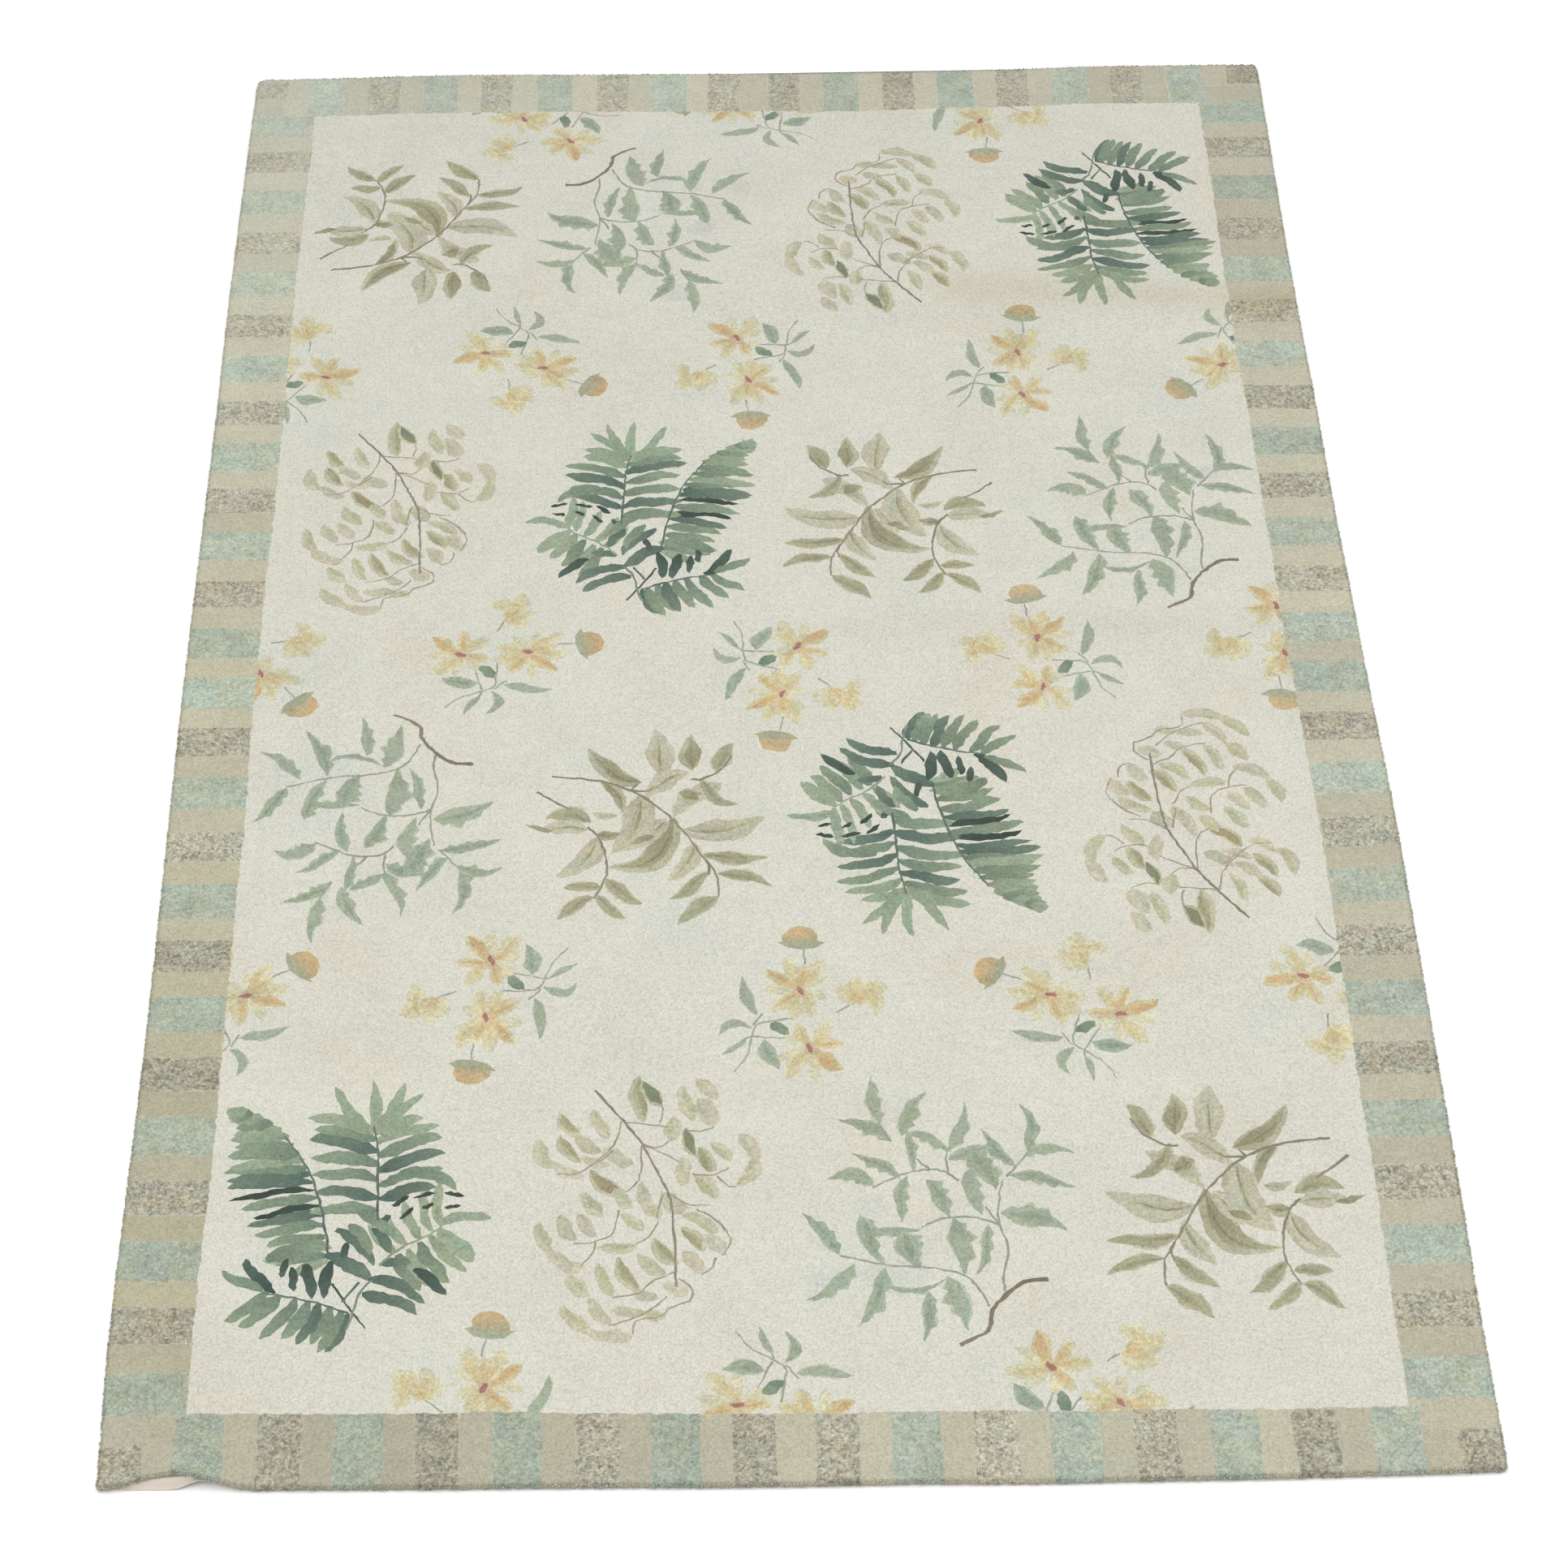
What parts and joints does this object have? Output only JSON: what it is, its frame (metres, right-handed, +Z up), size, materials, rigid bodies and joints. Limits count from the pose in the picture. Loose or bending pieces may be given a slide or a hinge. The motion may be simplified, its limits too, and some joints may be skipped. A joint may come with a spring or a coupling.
{
  "type": "hooked rug",
  "caption": "Flat hooked wool rug with leaf sprigs and daisy sprays on an ivory field, a striped border and a cotton backing cloth.",
  "frame": {"origin": "on the floor, under the middle of the rug", "axes": "+X across the rug to the right, +Y along it towards its far end, +Z up from the floor"},
  "size_m": [1.5314, 2.4467, 0.028],
  "materials": {
    "wool_loops": "looped wool pile, matt",
    "cotton_backing": "plain woven cotton, matt"
  },
  "bodies": {
    "root": {"hooked_pile": "wool_loops", "backing_cloth": "cotton_backing"}
  },
  "joints": []
}
